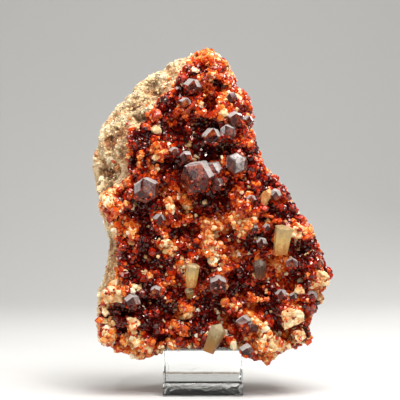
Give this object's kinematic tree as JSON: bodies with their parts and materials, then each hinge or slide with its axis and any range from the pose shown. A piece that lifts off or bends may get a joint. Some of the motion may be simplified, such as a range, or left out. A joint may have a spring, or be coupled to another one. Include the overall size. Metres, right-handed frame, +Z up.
{
  "type": "garnet in matrix mineral specimen on a clear stand",
  "caption": "Upright display specimen: red garnets and tan quartz crystals grown over a slab of pale rock, resting on a clear block stand.",
  "frame": {"origin": "middle of the stand's foot, on the surface that it stands on", "axes": "+Z up, the garnet face looks along -Y, +X to the right seen from that side"},
  "size_m": [0.0772, 0.041, 0.1114],
  "materials": {
    "pale_rock": "rough broken stone, cream to grey beige with brown pits",
    "garnet_crust": "glassy small crystals, deep red to orange",
    "garnet": "glassy flat faces, dark brown red",
    "quartz": "smoky tan, faintly ribbed, see-through",
    "feldspar": "satin cream blocks",
    "acrylic": "clear polished acrylic"
  },
  "bodies": {
    "root": {"feldspar_beside_quartz": "feldspar", "feldspar_bottom_left": "feldspar", "feldspar_bottom_right": "feldspar", "feldspar_centre": "feldspar", "feldspar_corner": "feldspar", "feldspar_ledge": "feldspar", "feldspar_left_lower": "feldspar", "feldspar_left_upper": "feldspar", "feldspar_low_right": "feldspar", "feldspar_right_edge": "feldspar", "garnet_amber": "garnet", "garnet_below_ledge": "garnet", "garnet_beside_quartz": "garnet", "garnet_bottom_left": "garnet", "garnet_bottom_pair": "garnet", "garnet_brown_pair": "garnet", "garnet_centre_cluster": "garnet", "garnet_crust": "garnet_crust", "garnet_glint": "garnet", "garnet_in_hollow": "garnet", "garnet_kite": "garnet", "garnet_left": "garnet", "garnet_low_centre": "garnet", "garnet_mauve": "garnet", "garnet_mauve_small": "garnet", "garnet_pale_pair": "garnet", "garnet_pink": "garnet", "garnet_right_edge": "garnet", "garnet_right_low": "garnet", "garnet_right_of_centre": "garnet", "garnet_right_shoulder": "garnet", "garnet_right_slope": "garnet", "garnet_row_left": "garnet", "garnet_row_right": "garnet", "garnet_top": "garnet", "garnet_under_quartz": "garnet", "garnet_upper_left": "garnet", "garnet_upper_right": "garnet", "matrix": "pale_rock", "quartz_bottom": "quartz", "quartz_middle": "quartz", "quartz_smoky": "quartz", "quartz_stub": "quartz", "quartz_tan": "quartz", "stand_base": "acrylic", "stand_block": "acrylic"}
  },
  "joints": []
}
